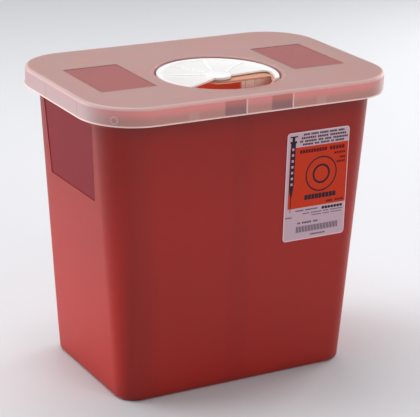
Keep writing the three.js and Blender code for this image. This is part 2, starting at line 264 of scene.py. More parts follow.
BOX_FACES = [(0, 1, 3, 2), (4, 6, 7, 5), (0, 4, 5, 1), (2, 3, 7, 6), (0, 2, 6, 4), (1, 5, 7, 3)]


def box_piece(name, x, y, z):
    corners = [(x[i], y[j], z[k]) for i in (0, 1) for j in (0, 1) for k in (0, 1)]
    return mesh_object(name, corners, BOX_FACES)


def ring_points(section, inset, z, steps=CORNER_STEPS):
    """Points round a rounded rectangle, drawn in by the inset."""
    corner = section["corner"] - inset
    across = section["half_long"] - section["corner"]
    deep = section["half_short"] - section["corner"]
    found = []
    for quarter, (sx, sy) in enumerate(((1, 1), (-1, 1), (-1, -1), (1, -1))):
        for i in range(steps + 1):
            angle = math.radians(90 * (quarter + i / steps))
            found.append((sx * across + corner * math.cos(angle), sy * deep + corner * math.sin(angle), z))
    return found


def stack(name, rings):
    """A closed solid whose skin runs through a list of rings, with a flat cap on the first and last."""
    count = len(rings[0])
    vertices = [v for ring in rings for v in ring]
    faces = [tuple(reversed(range(count)))]
    for level in range(len(rings) - 1):
        low, high = level * count, (level + 1) * count
        for i in range(count):
            j = (i + 1) % count
            faces.append((low + i, low + j, high + j, high + i))
    faces.append(tuple(range((len(rings) - 1) * count, len(rings) * count)))
    return mesh_object(name, vertices, faces)


def turned(name, profile, steps=ROUND_STEPS, y=WELL_Y):
    """Turned solid about the upright line through (0, y). The profile is (radius, height) pairs."""
    vertices = []
    rows = []
    for radius, z in profile:
        row = []
        for i in range(1 if radius == 0 else steps):
            angle = math.tau * i / steps
            row.append(len(vertices))
            vertices.append((radius * math.cos(angle), y + radius * math.sin(angle), z))
        rows.append(row)
    closed = profile[0][0] != 0
    pairs = list(zip(rows, rows[1:]))
    if closed:
        pairs.append((rows[-1], rows[0]))
    faces = []
    for low, high in pairs:
        for i in range(steps):
            j = (i + 1) % steps
            corners = [low[i % len(low)], low[j % len(low)], high[j % len(high)], high[i % len(high)]]
            unique = list(dict.fromkeys(corners))
            if len(unique) > 2:
                faces.append(tuple(unique))
    return mesh_object(name, vertices, faces)


def plate(outline, low, high):
    """Vertices and faces of an upright prism on a flat outline of (x, y) pairs."""
    count = len(outline)
    vertices = [(x, y, low) for x, y in outline] + [(x, y, high) for x, y in outline]
    faces = [tuple(reversed(range(count))), tuple(range(count, 2 * count))]
    faces += [(i, (i + 1) % count, count + (i + 1) % count, count + i) for i in range(count)]
    return vertices, faces


def arc(centre, radius, start, end, steps):
    """Points on an arc, from start to end in degrees."""
    found = []
    for i in range(steps + 1):
        angle = math.radians(start + (end - start) * i / steps)
        found.append((centre[0] + radius * math.cos(angle), centre[1] + radius * math.sin(angle)))
    return found


def annulus(centre, inner, outer, low, high):
    """Vertices and faces of a flat ring."""
    steps = 72
    vertices = []
    for radius, z in ((inner, low), (outer, low), (outer, high), (inner, high)):
        vertices += [(x, y, z) for x, y in arc(centre, radius, 0, 360, steps)[:-1]]
    faces = []
    for row in range(4):
        for i in range(steps):
            j = (i + 1) % steps
            after = (row + 1) % 4 * steps
            faces.append((row * steps + i, row * steps + j, after + j, after + i))
    return vertices, faces


def gathered(name, shapes):
    """One mesh of several separate closed shapes."""
    vertices = []
    faces = []
    for shape_vertices, shape_faces in shapes:
        start = len(vertices)
        vertices += shape_vertices
        faces += [tuple(start + i for i in face) for face in shape_faces]
    return mesh_object(name, vertices, faces)


def prism(name, outline, z):
    return gathered(name, [plate(outline, *z)])


def quarter_round(steps):
    """Pairs from (0, 0) to (1, 1) along a quarter circle that leaves upwards."""
    angles = [math.pi / 2 * i / steps for i in range(steps + 1)]
    return [(1 - math.cos(a), math.sin(a)) for a in angles]


# ---------------------------------------------------------------- bin


def bin_section(z):
    t = z / LID_TOP
    return {key: FOOT[key] + (MOUTH[key] - FOOT[key]) * t for key in FOOT}


def wall_ring(z, depth):
    return ring_points(bin_section(z), depth, z)


def bin_outside():
    """Rings from under the base, round its edge, up the wall and over the shoulder."""
    foot = bin_section(0)
    low, high = SHOULDER
    rings = [
        ring_points(foot, BASE_EDGE + FOOT_RING, BASE_RECESS),
        ring_points(foot, BASE_EDGE + FOOT_RING - BASE_RECESS, 0),
    ]
    for up, across in quarter_round(8):
        rings.append(ring_points(foot, BASE_EDGE * (1 - across), BASE_EDGE * up))
    rings += [wall_ring(z, 0) for z in WALL_LEVELS]
    rings += [
        wall_ring(low - 1, 0),
        wall_ring(low, -0.3),
        ring_points(COLLAR, 0.4, high - 0.2),
        ring_points(COLLAR, 0, high + COLLAR_ROUND),
    ]
    return rings


def bin_rim():
    """Rings out along the flange, round its down-turned lip and back over its top."""
    under = RIM_TOP - FLANGE_THICK
    rings = [
        ring_points(COLLAR, 0, under - COLLAR_ROUND),
        ring_points(COLLAR, -COLLAR_ROUND, under),
        ring_points(RIM, LIP_THICK, under),
        ring_points(RIM, LIP_THICK, LIP_BOTTOM),
        ring_points(RIM, 0, LIP_BOTTOM),
    ]
    for across, up in quarter_round(4):
        rings.append(ring_points(RIM, RIM_ROUND * across, RIM_TOP - RIM_ROUND * (1 - up)))
    for up, across in quarter_round(4):
        rings.append(ring_points(COLLAR, BIN_WALL - RIM_ROUND * (1 - across), RIM_TOP - RIM_ROUND * up))
    return rings


def bin_inside():
    """Rings down the inside of the wall and round the fillet to the floor."""
    low, high = SHOULDER
    floor_top = BASE_RECESS + BIN_FLOOR
    rings = [
        ring_points(COLLAR, BIN_WALL, high + INNER_RISE),
        wall_ring(low + INNER_RISE, BIN_WALL),
    ]
    rings += [wall_ring(z, BIN_WALL) for z in reversed(WALL_LEVELS)]
    for across, up in quarter_round(5):
        z = floor_top + FLOOR_FILLET * (1 - up)
        rings.append(ring_points(bin_section(z), BIN_WALL + FLOOR_FILLET * across, z))
    return rings


def make_bin():
    body = stack("bin_body", bin_outside() + bin_rim() + bin_inside())
    for side in (1, -1):
        carve(body, side_panel_tool(side), "DIFFERENCE")
    return smooth(body)


def side_panel_tool(side):
    """A block that cuts the shallow smooth panel in a short wall, at one depth behind the slope."""
    slope = math.atan2(MOUTH["half_long"] - FOOT["half_long"], LID_TOP)
    middle = (SIDE_PANEL["bottom"] + SIDE_PANEL["top"]) / 2
    half = (SIDE_PANEL["top"] - SIDE_PANEL["bottom"]) / 2
    widths = {-half: SIDE_PANEL["bottom_half"], half: SIDE_PANEL["top_half"]}
    corners = [(x, y * widths[z], z) for x in (-SIDE_PANEL["depth"], 4) for y in (-1, 1) for z in widths]
    tool = mesh_object("side_panel", corners, BOX_FACES)
    at = point(bin_section(middle)["half_long"], 0, middle)
    place = Matrix.Translation(at) @ Matrix.Rotation(slope, 4, "Y")
    if side < 0:
        place = Matrix.Rotation(math.pi, 4, "Z") @ place
    tool.data.transform(place)
    return tool


def smooth_side_panels(body, material):
    """Gives the floors of the two side panels a material of their own."""
    body.data.materials.append(material)
    for face in body.data.polygons:
        x, y, z = face.center / MM
        behind = bin_section(z)["half_long"] - abs(x)
        in_panel = abs(y) < SIDE_PANEL["top_half"] and SIDE_PANEL["bottom"] < z < SIDE_PANEL["top"]
        if in_panel and 0.6 * SIDE_PANEL["depth"] < behind < 2 * SIDE_PANEL["depth"]:
            face.material_index = 1


# ---------------------------------------------------------------- lid


def make_lid_shell():
    """The plate and the skirt, with the plug wall that goes into the bin's mouth."""
    plug = BIN_WALL + PLUG_CLEAR
    under = LID_TOP - PLATE
    rings = [
        ring_points(COLLAR, plug + PLUG_WALL, under),
        ring_points(COLLAR, plug + PLUG_WALL, PLUG_BOTTOM + CHAMFER),
        ring_points(COLLAR, plug + PLUG_WALL - CHAMFER, PLUG_BOTTOM),
        ring_points(COLLAR, plug + CHAMFER, PLUG_BOTTOM),
        ring_points(COLLAR, plug, PLUG_BOTTOM + 0.8),
        ring_points(COLLAR, plug, under),
        ring_points(LID_OUTER, SKIRT_WALL + 0.6, under),
        ring_points(LID_OUTER, SKIRT_WALL + 0.15, under - 0.2),
        ring_points(LID_OUTER, SKIRT_WALL, under - 0.7),
        ring_points(LID_OUTER, SKIRT_WALL, SKIRT_BOTTOM + CHAMFER),
        ring_points(LID_OUTER, SKIRT_WALL - CHAMFER, SKIRT_BOTTOM),
    ]
    for inwards, up in FLARED_EDGE:
        rings.append(ring_points(LID_OUTER, inwards - FLARE, SKIRT_BOTTOM + up))
    for across, up in quarter_round(8):
        rings.append(ring_points(LID_OUTER, EDGE_ROUND * across, LID_TOP - EDGE_ROUND * (1 - up)))
    return stack("lid_shell", rings)


def make_well():
    middle = (WELL_RADIUS + BEAD_RADIUS) / 2
    half = (BEAD_RADIUS - WELL_RADIUS) / 2
    steps = 16
    bead = []
    for i in range(steps + 1):
        angle = math.pi * i / steps
        rise = (TOP - BEAD_FOOT) * math.sin(angle)
        bead.append((middle + half * math.cos(angle), BEAD_FOOT + rise))
    bottom = WELL_FLOOR - WELL_FLOOR_THICK
    corner = [
        (WELL_RADIUS - WELL_CORNER * (1 - across), WELL_FLOOR + WELL_CORNER * (1 - up))
        for up, across in quarter_round(5)
    ]
    return turned("well", [
        (0, bottom),
        (WELL_RADIUS + WELL_WALL, bottom),
        (WELL_RADIUS + WELL_WALL, LID_TOP - PLATE - 0.4),
        *bead,
        *corner,
        (0, WELL_FLOOR),
    ])


def drop_opening_outline():
    end = -math.degrees(math.asin(BOSS_RADIUS / HOLE_RADIUS))
    centre = (0, WELL_Y)
    return arc(centre, HOLE_RADIUS, 180, 360 + end, 60) + arc(centre, BOSS_RADIUS, 270, 180, 12)


def add_baffle(lid):
    """The ribbed wall that hangs from the straight edge of the drop opening."""
    edge = WELL_Y - BOSS_RADIUS
    start, bottom = BAFFLE["start"], BAFFLE["bottom"]
    back = edge + BAFFLE["thick"]
    end = math.sqrt(HOLE_RADIUS**2 - BOSS_RADIUS**2) + 1
    wall = box_piece("baffle", (start, end), (edge - 0.02, back), (bottom, WELL_FLOOR - 0.2))
    carve(lid, wall, "UNION")
    for low, high in BAFFLE_RIBS:
        across = (start + low, start + high)
        rib = box_piece("baffle_rib", across, (edge - BAFFLE["rib_depth"], back), (bottom, WELL_FLOOR - 0.8))
        carve(lid, rib, "UNION")


def add_snap_lugs(lid):
    outer = SKIRT_WALL / 2
    inner = SKIRT_WALL + LUG_DEPTH
    full = (LUG_BOTTOM, LID_TOP - PLATE + 0.2)
    low = (LUG_BOTTOM, SMALL_LUG_TOP)
    for sign in (-1, 1):
        y = sorted((sign * (LID_OUTER["half_short"] - outer), sign * (LID_OUTER["half_short"] - inner)))
        x = sorted((sign * (LID_OUTER["half_long"] - outer), sign * (LID_OUTER["half_long"] - inner)))
        for along in FRONT_LUGS:
            carve(lid, box_piece("lug", along, y, full), "UNION")
        for along in SMALL_LUGS:
            carve(lid, box_piece("lug", along, y, low), "UNION")
        for along in SIDE_LUGS:
            carve(lid, box_piece("lug", x, along, full), "UNION")


def add_corner_ring(lid):
    """The small raised ring on the skirt at the front left corner."""
    inner, outer, height = CORNER_RING["inner"], CORNER_RING["outer"], CORNER_RING["height"]
    edge = height / 2
    profile = [
        (inner, -1), (outer, -1), (outer, edge),
        (outer - edge, height), (inner + edge, height), (inner, edge),
    ]
    ring = turned("corner_ring", profile, 32, 0)
    corner = LID_OUTER["corner"]
    out = Matrix.Translation(point(corner, 0, 0)) @ Matrix.Rotation(math.pi / 2, 4, "Y")
    turn = Matrix.Rotation(math.radians(CORNER_RING["angle"]), 4, "Z")
    at = point(
        corner - LID_OUTER["half_long"], corner - LID_OUTER["half_short"], LID_TOP - CORNER_RING["down"],
    )
    ring.data.transform(Matrix.Translation(at) @ turn @ out)
    carve(lid, ring, "UNION")


def cut_well(lid):
    """Opens the plate, sets the well in it, and cuts the drop opening and the rotor's bore in its floor."""
    rim = WELL_RADIUS + WELL_WALL / 2
    mouth = turned("mouth", [(0, WELL_FLOOR), (rim, WELL_FLOOR), (rim, LID_TOP + 1), (0, LID_TOP + 1)])
    carve(lid, mouth, "DIFFERENCE")
    carve(lid, make_well(), "UNION")
    low, high = WELL_FLOOR - WELL_FLOOR_THICK - 1, WELL_FLOOR + 1
    carve(lid, prism("opening", drop_opening_outline(), (low, high)), "DIFFERENCE")
    bore = turned("bore", [(0, low), (BORE_RADIUS, low), (BORE_RADIUS, high), (0, high)], 48)
    carve(lid, bore, "DIFFERENCE")


def cut_windows(lid):
    z = (LID_TOP - WINDOW["depth"], LID_TOP + 1)
    y = (WINDOW["front"], WINDOW["back"])
    for x in ((WINDOW["near"], WINDOW["far"]), (-WINDOW["far"], -WINDOW["near"])):
        carve(lid, box_piece("window", x, y, z), "DIFFERENCE")


def make_lid():
    lid = make_lid_shell()
    cut_well(lid)
    add_baffle(lid)
    add_snap_lugs(lid)
    add_corner_ring(lid)
    cut_windows(lid)
    lid.name = "frosted_lid"
    return smooth(lid)


# ---------------------------------------------------------------- rotor


def make_rotor_disc():
    inner = ROTOR_RADIUS - RING_WIDTH
    low, high = ROTOR_PLATE
    bottom = WELL_FLOOR + ROTOR_GAP
    edge = [(RING_EDGE * across, RING_TOP - RING_EDGE * (1 - up)) for across, up in quarter_round(5)]
    outer_edge = [(ROTOR_RADIUS - across, z) for across, z in edge]
    inner_edge = [(inner + across, z) for across, z in reversed(edge)]
    return turned("rotor_disc", [
        (0, low),
        (inner, low),
        (inner, bottom),
        (ROTOR_RADIUS - 0.3, bottom),
        (ROTOR_RADIUS, bottom + 0.3),
        *outer_edge,
        *inner_edge,
        (inner - 0.1, high + 0.3),
        (inner - 0.6, high),
        (HUB_RADIUS + 0.6, high),
        (0, high),
    ])


def rotor_cut_outline():
    """Outline of what is missing from the disc, about the rotor's own axis."""
    ring_inner = ROTOR_RADIUS - RING_WIDTH
    far = ROTOR_RADIUS + 10
    right = Vector((math.cos(math.radians(RIGHT_CUT)), math.sin(math.radians(RIGHT_CUT))))
    start = Vector((0, RIGHT_OFFSET))
    along = math.sqrt((ring_inner - CUT_ROUND) ** 2 - (RIGHT_OFFSET - CUT_ROUND) ** 2)
    centre = start + right * along + Vector((right.y, -right.x)) * CUT_ROUND
    corner = ring_inner - centre.length
    toward = math.degrees(math.atan2(centre.y, centre.x))
    outline = [tuple(start)]
    outline += arc(centre, corner, RIGHT_CUT + 90, toward, 12)
    outline += arc((0, 0), ring_inner, toward, ARM_END, 12)[1:]
    outline += arc((0, 0), far, ARM_END, LEFT_CUT - 360, 24)
    return outline


def add_ribs(rotor):
    reach = ROTOR_RADIUS - RING_WIDTH + 0.5
    half = RIB_WIDTH / 2
    pivot = Matrix.Translation(point(0, WELL_Y, 0))
    for angle in RIB_ANGLES:
        rib = box_piece("rib", (0, reach), (-half, half), (ROTOR_PLATE[0] + 0.5, RIB_TOP))
        rib.data.transform(pivot @ Matrix.Rotation(math.radians(angle), 4, "Z"))
        carve(rotor, rib, "UNION")


def make_hub():
    low, high = ROTOR_PLATE[0], HUB_TOP
    return turned("hub", [
        (0, low), (HUB_RADIUS, low), (HUB_RADIUS, high - 0.6), (HUB_RADIUS - 0.2, high - 0.2),
        (HUB_RADIUS - 0.6, high), (0, high),
    ], 64)


def make_stem():
    """The hollow snap stem under the rotor, split into four fingers."""
    bottom, lip_top = STEM["bottom"], STEM["lip_top"]
    bore, radius, lip = STEM["bore"], STEM["radius"], STEM["lip"]
    top = ROTOR_PLATE[0] + 0.5
    stem = turned("stem", [
        (bore, bottom), (radius, bottom), (lip, lip_top - 0.6), (lip, lip_top), (radius, lip_top),
        (radius, top), (bore, top),
    ], 48)
    half, reach = STEM["slot"] / 2, 8
    z = (bottom - 1, ROTOR_PLATE[0] - 1)
    carve(stem, box_piece("slot", (-reach, reach), (WELL_Y - half, WELL_Y + half), z), "DIFFERENCE")
    carve(stem, box_piece("slot", (-half, half), (WELL_Y - reach, WELL_Y + reach), z), "DIFFERENCE")
    return stem


def make_rotor():
    rotor = make_rotor_disc()
    add_ribs(rotor)
    outline = [(x, y + WELL_Y) for x, y in rotor_cut_outline()]
    carve(rotor, prism("cut", outline, (ROTOR_PLATE[0] - 10, RING_TOP + 1)), "DIFFERENCE")
    carve(rotor, make_hub(), "UNION")
    soften(rotor, 0.22)
    carve(rotor, make_stem(), "UNION")
    rotor.name = "white_rotor"
    return smooth(rotor)


# ---------------------------------------------------------------- label


def label_middle():
    return (LABEL["left"] + LABEL["right"]) / 2, (LABEL["top"] + LABEL["bottom"]) / 2


def label_section():
    """The label's outline, as ring_points takes it."""
    return {
        "half_long": (LABEL["right"] - LABEL["left"]) / 2,
        "half_short": (LABEL["top"] - LABEL["bottom"]) / 2,
        "corner": LABEL["corner"],
    }


def label_place():
    """Turns label coordinates, x across, y up the wall and z outwards, into the row frame."""
    slope = math.atan2(MOUTH["half_short"] - FOOT["half_short"], LID_TOP)
    across, up = label_middle()
    centre = point(across, -bin_section(up)["half_short"], up)
    return Matrix.Translation(centre) @ Matrix.Rotation(math.pi / 2 + slope, 4, "X")


def make_label():
    section = label_section()
    low, high = LABEL_LIFT
    edge = 0.08
    label = stack("label_sheet", [
        ring_points(section, 0, low, 8),
        ring_points(section, 0, high - edge, 8),
        ring_points(section, edge, high, 8),
    ])
    label.data.transform(label_place())
    return smooth(label)


def ink(name, shapes):
    """A piece made of print on the label. The shapes are drawn in the wall's own x and z."""
    piece = gathered(name, shapes)
    across, up = label_middle()
    piece.data.transform(label_place() @ Matrix.Translation(point(-across, -up, 0)))
    return smooth(piece)


def patch(x, z, level="print"):
    """A rectangle of print at one of the ink levels."""
    return plate([(x[0], z[0]), (x[1], z[0]), (x[1], z[1]), (x[0], z[1])], *INK_LEVELS[level])


def print_line(x, z, height, groups, mark=1.15, gap=0.35):
    """A line of plain marks in word-like groups. It spells nothing: every mark is the same."""
    pitch = (x[1] - x[0] + gap) / (sum(groups) + len(groups) - 1)
    shapes = []
    start = x[0]
    for group in groups:
        for i in range(group):
            left = start + i * pitch
            shapes.append(patch((left, left + pitch * mark / (mark + gap)), (z, z + height)))
        start += (group + 1) * pitch
    return shapes


def print_lines(lines):
    return [shape for line in lines for shape in print_line(*line)]


def bar_run():
    """Evenly repeated upright bars."""
    left, right = BARS["x"]
    pitch = (right - left) / BARS["count"]
    starts = [left + i * pitch for i in range(BARS["count"])]
    return [patch((start, start + BARS["share"] * pitch), BARS["z"]) for start in starts]


def syringe():
    bars = [patch((SYRINGE_MIDDLE + x[0], SYRINGE_MIDDLE + x[1]), z) for x, z in SYRINGE_BARS]
    barrel = [(SYRINGE_MIDDLE + x, z) for x, z in SYRINGE_BARREL]
    return bars + [plate(barrel, *INK_LEVELS["print"])]


def make_panel_ink():
    return ink("label_panel_ink", [patch(PANEL_INK["x"], PANEL_INK["z"], "ground")])


def make_dark_ink():
    emblem = [annulus(EMBLEM["centre"], *ring, *INK_LEVELS["print"]) for ring in EMBLEM["rings"]]
    return ink("label_dark_ink", print_lines(DARK_LINES) + emblem + syringe())


def make_red_ink():
    return ink("label_red_ink", print_lines(RED_LINES))


def make_grey_ink():
    return ink("label_grey_ink", print_lines(GREY_LINES) + bar_run())


def make_pale_ink():
    """Scale marks on the syringe's barrel."""
    x = (SYRINGE_MIDDLE - SCALE_MARKS["half"], SYRINGE_MIDDLE + SCALE_MARKS["half"])
    heights = range(SCALE_MARKS["first"], SCALE_MARKS["last"] + 1, SCALE_MARKS["step"])
    return ink("label_pale_ink", [patch(x, (z, z + SCALE_MARKS["height"]), "over") for z in heights])


# ---------------------------------------------------------------- colours, linear RGB

# Two colours in one entry are the ends of a mix, which the material names.

RED = {
    "wall": ((0.405, 0.015, 0.007), (0.47, 0.022, 0.011)),
    "shaded": (0.22, 0.010, 0.007),
    "lit_low_side": (0.70, 0.022, 0.012),
    "inside": (1.0, 0.22, 0.11),
    "side_panel": ((0.28, 0.0085, 0.020), (0.30, 0.0095, 0.022)),
}
FROSTED = {
    "plate": ((0.66, 0.390, 0.345), (0.73, 0.435, 0.415)),
    "cloud": (0.61, 0.45, 0.41),
    "window": (0.60, 0.205, 0.195),
    "window_edge_shade": (0.40, 0.190, 0.185),
    "bead": (0.75, 0.43, 0.405),
    "baffle": (1.0, 0.86, 0.76),
    "well_floor_shadow": (0.70, 0.33, 0.21),
    "well_wall_shade": (0.52, 0.23, 0.21),
    "underside": (0.95, 0.66, 0.58),
    "edge_highlight": (1.0, 0.72, 0.69),
}
SKIRT = {
    "upper": ((0.53, 0.31, 0.32), (0.88, 0.29, 0.275)),
    "lower": ((0.48, 0.31, 0.31), (0.58, 0.26, 0.225)),
    "lug": ((0.27, 0.12, 0.14), (0.59, 0.165, 0.12)),
    "small_lug": (0.9, 0.6, 0.6),
    "lug_line": (0.97, 0.72, 0.70),
    "side_line": (0.40, 0.17, 0.20),
    "crease_highlight": ((0.80, 0.56, 0.54), (0.97, 0.56, 0.52)),
    "bottom_edge_highlight": (1.0, 0.72, 0.66),
    "ring": (0.95, 0.80, 0.78),
}
WHITE = {
    "plate": ((0.86, 0.825, 0.81), (0.90, 0.865, 0.84)),
    "raised": (0.96, 0.95, 0.93),
}
PAPER = {
    "film": ((0.54, 0.365, 0.425), (0.60, 0.415, 0.475)),
    "border": (0.82, 0.56, 0.61),
}
INKS = (
    (make_panel_ink, "ink_orange", (0.54, 0.034, 0.010), (0.64, 0.050, 0.016)),
    (make_dark_ink, "ink_dark", (0.02, 0.012, 0.02), (0.045, 0.025, 0.035)),
    (make_red_ink, "ink_red", (0.10, 0.006, 0.010), (0.16, 0.010, 0.015)),
    (make_grey_ink, "ink_grey", (0.06, 0.045, 0.065), (0.11, 0.085, 0.12)),
    (make_pale_ink, "ink_pale", (0.45, 0.30, 0.40), (0.55, 0.4, 0.5)),
)


# ---------------------------------------------------------------- materials


class Nodes:
    """Short ways to add and join shader nodes. Lengths are in millimetres, noise scales are per metre."""

    def __init__(self, name):
        self.material = bpy.data.materials.new(name)
        self.material.use_nodes = True
        self.tree = self.material.node_tree
        self.tree.nodes.clear()
        self.output = self.tree.nodes.new("ShaderNodeOutputMaterial")
        self.shader = self.tree.nodes.new("ShaderNodeBsdfPrincipled")
        self.join(self.shader.outputs[0], self.output.inputs[0])
        self.place = self.tree.nodes.new("ShaderNodeTexCoord").outputs["Object"]

    def join(self, source, target):
        self.tree.links.new(source, target)

    def feed(self, target, value):
        if isinstance(value, bpy.types.NodeSocket):
            self.join(value, target)
        else:
            target.default_value = value

    def set(self, **values):
        for key, value in values.items():
            self.feed(self.shader.inputs[key.replace("_", " ")], value)

    def math(self, operation, a, b=0.0):
        node = self.tree.nodes.new("ShaderNodeMath")
        node.operation = operation
        self.feed(node.inputs[0], a)
        self.feed(node.inputs[1], b)
        return node.outputs[0]

    def stretched(self, scale):
        """The place on the piece, in metres, times a scale for each axis."""
        node = self.tree.nodes.new("ShaderNodeMapping")
        node.inputs["Scale"].default_value = scale
        self.join(self.place, node.inputs["Vector"])
        return node.outputs["Vector"]

    def axes(self):
        """The place on the piece, as x, y and z in millimetres."""
        node = self.tree.nodes.new("ShaderNodeSeparateXYZ")
        self.join(self.stretched((1 / MM, 1 / MM, 1 / MM)), node.inputs[0])
        return node.outputs[0], node.outputs[1], node.outputs[2]

    def noise(self, scale, detail=2.0, roughness=0.5, place=None):
        node = self.tree.nodes.new("ShaderNodeTexNoise")
        self.join(place or self.place, node.inputs["Vector"])
        node.inputs["Scale"].default_value = scale
        node.inputs["Detail"].default_value = detail
        node.inputs["Roughness"].default_value = roughness
        return node.outputs["Fac"]

    def ramp(self, value, from_low, from_high, to_low, to_high):
        """A straight change from to_low to to_high while the value goes from from_low to from_high."""
        node = self.tree.nodes.new("ShaderNodeMapRange")
        self.feed(node.inputs["Value"], value)
        node.inputs["From Min"].default_value = from_low
        node.inputs["From Max"].default_value = from_high
        node.inputs["To Min"].default_value = to_low
        node.inputs["To Max"].default_value = to_high
        return node.outputs["Result"]

    def rise(self, value, low, high):
        """0 below low, 1 above high."""
        return self.ramp(value, low, high, 0, 1)

    def fall(self, value, low, high):
        """1 below low, 0 above high."""
        return self.ramp(value, low, high, 1, 0)

    def between(self, value, low, high, soft=0.4):
        """1 between low and high, 0 outside, with soft edges."""
        rise = self.rise(value, low - soft, low + soft)
        return self.math("MULTIPLY", rise, self.fall(value, high - soft, high + soft))

    def length(self, x, y):
        """How far (x, y) is from the origin."""
        return self.math("SQRT", self.math("ADD", self.math("MULTIPLY", x, x), self.math("MULTIPLY", y, y)))

    def outline_distance(self, x, y, across, deep, corner):
        """How far a point is outside a rounded rectangle. It is negative inside."""
        over_x = self.math("MAXIMUM", self.math("SUBTRACT", self.math("ABSOLUTE", x), across), 0)
        over_y = self.math("MAXIMUM", self.math("SUBTRACT", self.math("ABSOLUTE", y), deep), 0)
        return self.math("SUBTRACT", self.length(over_x, over_y), corner)

    def blend(self, amount, first, second):
        """A mix of two colours, each an RGB triple or an earlier blend."""
        node = self.tree.nodes.new("ShaderNodeMix")
        node.data_type = "RGBA"
        self.feed(node.inputs["Factor"], amount)
        for name, colour in (("A", first), ("B", second)):
            given = isinstance(colour, bpy.types.NodeSocket)
            self.feed(node.inputs[name], colour if given else (*colour, 1))
        return node.outputs["Result"]

    def bump(self, height, distance, strength=0.6):
        node = self.tree.nodes.new("ShaderNodeBump")
        node.inputs["Distance"].default_value = distance * MM
        node.inputs["Strength"].default_value = strength
        self.join(height, node.inputs["Height"])
        self.join(node.outputs[0], self.shader.inputs["Normal"])


def red_plastic():
    """Satin translucent red. Painted light makes it paler inside, where the light that comes through a thin
    red wall lands.
    """
    made = Nodes("red_polypropylene")
    x, y, z = made.axes()
    base = made.blend(made.noise(1.0, 3.0, 0.55, made.stretched((9, 9, 2.5))), *RED["wall"])
    base = made.blend(wall_shade(made, x, y, z), base, RED["shaded"])
    base = made.blend(corner_shade(made, x, y, z), base, RED["shaded"])
    # Painted light: the short walls are brighter and redder towards the foot, as lit from the floor below.
    short_wall = made.rise(made.math("ABSOLUTE", x), 100, 110)
    lit_low_side = made.math("MULTIPLY", short_wall, made.ramp(z, 20, 200, 0.75, 0.05))
    base = made.blend(lit_low_side, base, RED["lit_low_side"])
    # Painted light: paler on the inner side of the wall and on the floor, where light through the walls
    # lands.
    base = made.blend(inside_of_bin(made, x, y, z), base, RED["inside"])
    fine = made.noise(1600.0, 2.0, 0.6)
    made.set(Base_Color=base, Roughness=made.ramp(fine, 0.3, 0.7, 0.36, 0.44), IOR=1.49)
    made.set(Specular_IOR_Level=0.27, Transmission_Weight=0.4)
    made.bump(fine, 0.06)
    return made.material


def smooth_red_plastic():
    """The same red, darker and almost without grain, for the panels of the short walls."""
    made = Nodes("smooth_red_polypropylene")
    base = made.blend(made.noise(1.0, 3.0, 0.55, made.stretched((9, 9, 2.5))), *RED["side_panel"])
    fine = made.noise(1600.0, 2.0, 0.6)
    made.set(Base_Color=base, Roughness=made.ramp(fine, 0.3, 0.7, 0.44, 0.52), IOR=1.49)
    made.set(Specular_IOR_Level=0.03, Transmission_Weight=0.4)
    made.bump(fine, 0.009)
    return made.material


def bin_size(made, z, key, less=None):
    """A size of the bin's section at each height, less another one if it is named."""
    foot, mouth = FOOT[key], MOUTH[key]
    if less:
        foot, mouth = foot - FOOT[less], mouth - MOUTH[less]
    return made.ramp(z, 0, LID_TOP, foot, mouth)


def inside_of_bin(made, x, y, z):
    """1 on the inner side of the wall and on the floor."""
    skin = made.outline_distance(
        x, y,
        bin_size(made, z, "half_long", "corner"),
        bin_size(made, z, "half_short", "corner"),
        bin_size(made, z, "corner"),
    )
    within = made.fall(skin, -0.8 * BIN_WALL, -0.5 * BIN_WALL)
    return made.math("MULTIPLY", within, made.rise(z, BIN_FLOOR, BIN_FLOOR + 0.8))


def wall_shade(made, x, y, z):
    """Painted shade: darker towards the rim, with a faint dark band up the middle of the front wall."""
    towards_rim = made.ramp(z, 150, 225, 0, 0.33)
    under_rim = made.ramp(z, SHOULDER[0] - 15, SHOULDER[0] + 3, 0, 0.52)
    front = made.ramp(y, -60, -55, 0.14, 0)
    band = made.math("MULTIPLY", made.between(x, -13, 5, 3), front)
    return made.math("ADD", made.math("ADD", towards_rim, under_rim), band)


def corner_shade(made, x, y, z):
    """Painted shade: the two left corners are darker than the walls beside them."""
    past_x = made.math("SUBTRACT", made.math("MULTIPLY", x, -1), bin_size(made, z, "half_long", "corner"))
    past_y = made.math("SUBTRACT", made.math("ABSOLUTE", y), bin_size(made, z, "half_short", "corner"))
    return made.math("MULTIPLY", made.ramp(past_x, -17.8, 0.2, 0, 0.4), made.rise(past_y, 0, 6))


